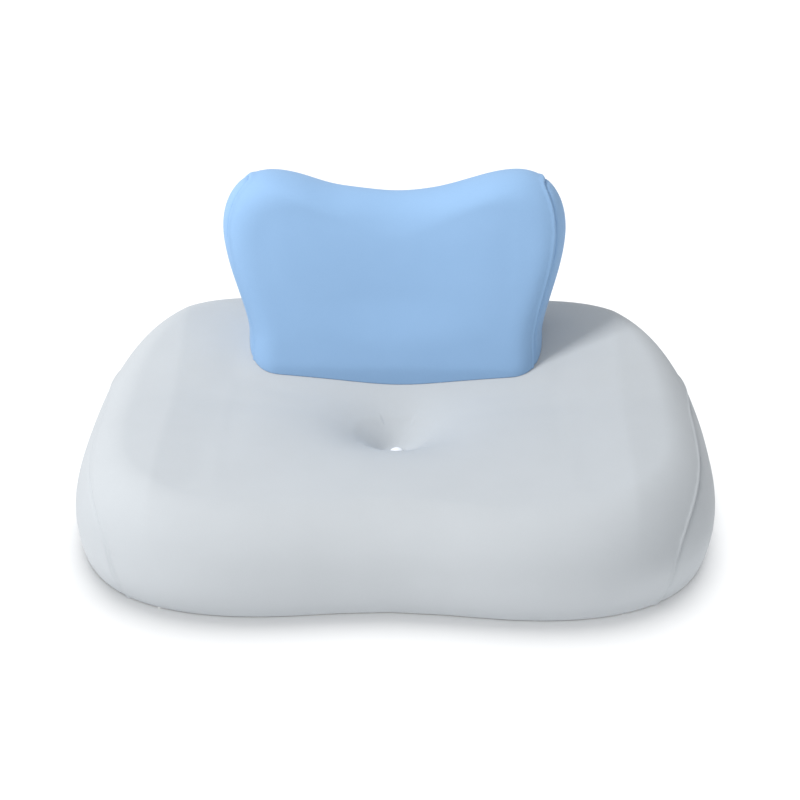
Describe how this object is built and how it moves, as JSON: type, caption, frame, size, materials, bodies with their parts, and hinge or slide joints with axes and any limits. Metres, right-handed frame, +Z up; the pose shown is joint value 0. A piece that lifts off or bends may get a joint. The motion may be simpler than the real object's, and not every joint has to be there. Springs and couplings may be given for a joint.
{
  "type": "floor seat with back cushion",
  "caption": "Legless floor seat: wide tufted oval foam cushion with a lobed back cushion that plugs into it on a steel hoop; zipped stretch covers.",
  "frame": {"origin": "on the floor under the middle of the seat cushion", "axes": "+X to the sitter's left, which is the viewer's right from the front; +Y to the rear; +Z up; the front faces -Y"},
  "size_m": [0.7, 0.5243, 0.326],
  "materials": {
    "grey_cloth": "light grey stretch knit, matt with a soft sheen",
    "blue_cloth": "sky blue stretch knit, matt with a soft sheen",
    "base_cloth": "dark woven cloth with rubber anti-slip dots",
    "foam": "open-cell polyurethane foam",
    "white_plastic": "white moulded button, satin",
    "cord": "braided tufting cord",
    "plywood": "sanded plywood",
    "steel": "zinc-plated steel",
    "zip_cloth": "woven zip tape with a nylon coil",
    "zip_metal": "lacquered zinc alloy"
  },
  "bodies": {
    "root": {"base_board": "plywood", "screw_left_1": "steel", "screw_left_2": "steel", "screw_left_3": "steel", "screw_left_4": "steel", "screw_right_1": "steel", "screw_right_2": "steel", "screw_right_3": "steel", "screw_right_4": "steel", "seat_base_cloth": "base_cloth", "seat_cover_main": "grey_cloth", "seat_foam_core": "foam", "seat_gusset_left": "grey_cloth", "seat_gusset_right": "grey_cloth", "seat_zip_chain": "zip_cloth", "seat_zip_stop_left": "zip_metal", "seat_zip_stop_right": "zip_metal", "seat_zip_tape": "zip_cloth", "socket_left": "steel", "socket_right": "steel", "tuft_button": "white_plastic", "tuft_cord": "cord", "tuft_washer": "white_plastic"},
    "backrest": {"back_base_cloth": "base_cloth", "back_cover_main": "blue_cloth", "back_foam_core": "foam", "back_gusset_left": "blue_cloth", "back_gusset_right": "blue_cloth", "back_hoop": "steel", "back_zip_chain": "zip_cloth", "back_zip_stop_left": "zip_metal", "back_zip_stop_right": "zip_metal", "back_zip_tape": "zip_cloth"},
    "seat_zip_slider": {"seat_zip_slider": "zip_metal"},
    "seat_zip_pull": {"seat_zip_pull": "zip_metal"},
    "back_zip_slider": {"back_zip_slider": "zip_metal"},
    "back_zip_pull": {"back_zip_pull": "zip_metal"}
  },
  "joints": [
    {"name": "back_lift", "type": "slide", "parent": "root", "child": "backrest", "axis": [0, 0, 1], "range_m": [0, 0.125]},
    {"name": "seat_zip_run", "type": "slide", "parent": "root", "child": "seat_zip_slider", "axis": [1, 0, 0], "range_m": [0, 0.2138]},
    {"name": "seat_pull_turn", "type": "hinge", "parent": "seat_zip_slider", "child": "seat_zip_pull", "pos_m": [-0.1069, 0.26225, 0.046], "axis": [0, 0, 1], "range_deg": [0, 150]},
    {"name": "back_zip_run", "type": "slide", "parent": "backrest", "child": "back_zip_slider", "axis": [1, 0, 0], "range_m": [0, 0.1938]},
    {"name": "back_pull_turn", "type": "hinge", "parent": "back_zip_slider", "child": "back_zip_pull", "pos_m": [-0.0969, 0.18567, 0.17177], "axis": [0, 0.0575, 0.9983], "range_deg": [0, 150]}
  ]
}
